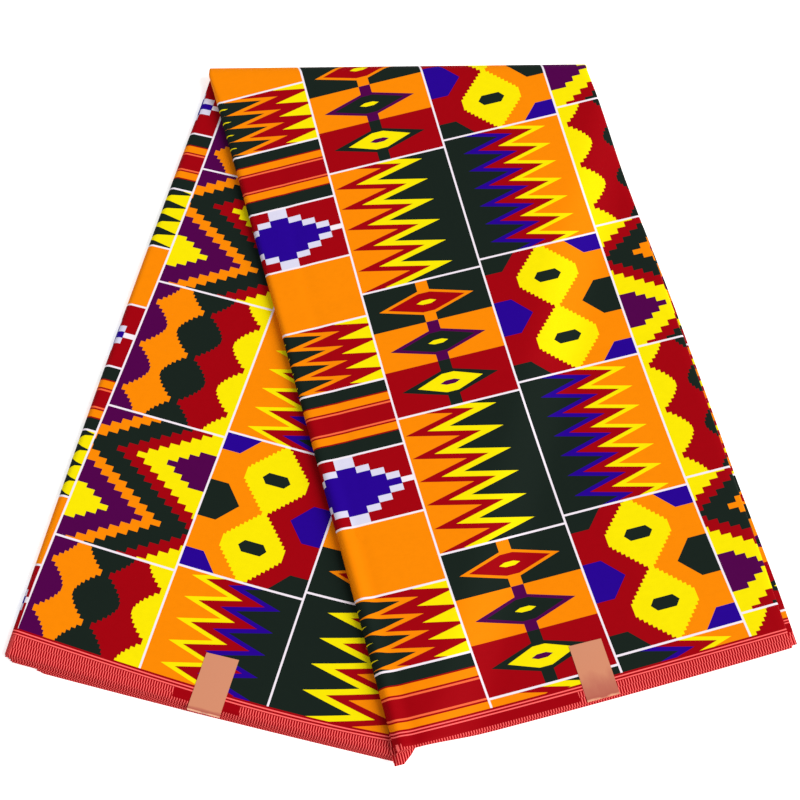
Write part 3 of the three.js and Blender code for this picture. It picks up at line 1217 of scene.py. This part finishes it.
class WAXCLOTH_OT_studio(bpy.types.Operator):
    """Sets up the floor, the light and the camera at the photograph's angle."""

    bl_idname = "waxcloth.studio"
    bl_label = "Studio"

    def execute(self, context):
        scene = context.scene
        studio = scene.wax_studio
        floor_shape = bmesh.new()
        bmesh.ops.create_grid(floor_shape, x_segments=1, y_segments=1, size=FLOOR_HALF_SIZE)
        bmesh.ops.translate(floor_shape, verts=floor_shape.verts, vec=(0.0, 0.0, -FLOOR_DROP))
        mesh = bpy.data.meshes.new("studio_floor")
        floor_shape.to_mesh(mesh)
        floor_shape.free()
        mesh.materials.append(floor_material("Studio floor", studio.floor_colour, studio.floor_glow))
        floor = new_object("studio_floor", mesh)

        world = bpy.data.worlds.new("Even studio light")
        world.use_nodes = True
        background = world.node_tree.nodes["Background"]
        background.inputs["Color"].default_value = (1.0, 1.0, 1.0, 1.0)
        background.inputs["Strength"].default_value = studio.sky_strength
        scene.world = world

        lamp = bpy.data.lights.new("Side softbox", "SUN")
        lamp.energy = studio.key_strength
        lamp.angle = studio.key_spread
        light = new_object("Side softbox", lamp)
        light.location = KEY_PLACE
        light.rotation_euler = (-KEY_PLACE).to_track_quat("-Z", "Y").to_euler()

        camera_data = bpy.data.cameras.new("Photo camera")
        camera_data.lens = studio.lens
        camera_data.sensor_width = SENSOR_WIDTH
        camera = new_object("Photo camera", camera_data)
        camera.location = CAMERA_PLACE * MM
        camera.rotation_euler = (CAMERA_AIM - CAMERA_PLACE).to_track_quat("-Z", "Y").to_euler()
        scene.camera = camera
        scene.view_settings.view_transform = "Standard"
        return {"FINISHED"}


def cotton(context):
    """The printed cotton, made once."""
    material = bpy.data.materials.get("Wax print cotton")
    if material is None:
        inks = context.scene.wax_inks
        finish = context.scene.wax_finish
        material = cotton_material("Wax print cotton", drawn_group(wax_print), weave_group(), inks, finish)
    return material


class WAXCLOTH_PT_panel(bpy.types.Panel):
    """Lists the pieces of the folded cloth and their settings."""

    bl_label = "Wax cloth"
    bl_idname = "WAXCLOTH_PT_panel"
    bl_space_type = "VIEW_3D"
    bl_region_type = "UI"
    bl_category = "Wax cloth"

    def draw(self, context):
        layout = self.layout
        for step in STEPS:
            layout.operator(step.bl_idname)
        for name, group in SETTINGS.items():
            box = layout.box()
            settings = getattr(context.scene, name)
            for key in group.__annotations__:
                box.prop(settings, key)


SETTINGS = {
    "wax_fold": FoldSettings,
    "wax_inks": InkSettings,
    "wax_finish": FinishSettings,
    "wax_studio": StudioSettings,
}
STEPS = (WAXCLOTH_OT_outer_ply, WAXCLOTH_OT_inner_plies, WAXCLOTH_OT_labels, WAXCLOTH_OT_studio)


def register():
    """Registers the settings, the operators and the panel."""
    for group in (*SETTINGS.values(), *STEPS, WAXCLOTH_PT_panel):
        bpy.utils.register_class(group)
    for name, group in SETTINGS.items():
        setattr(bpy.types.Scene, name, PointerProperty(type=group))


def unregister():
    """Removes them again."""
    for name in SETTINGS:
        delattr(bpy.types.Scene, name)
    for group in (WAXCLOTH_PT_panel, *reversed(STEPS), *reversed(SETTINGS.values())):
        bpy.utils.unregister_class(group)


def main():
    """Builds the dressed cloth and its studio."""
    register()
    bpy.ops.waxcloth.outer_ply()
    bpy.ops.waxcloth.inner_plies()
    bpy.ops.waxcloth.labels()
    bpy.ops.waxcloth.studio()


if __name__ == "__main__":
    main()
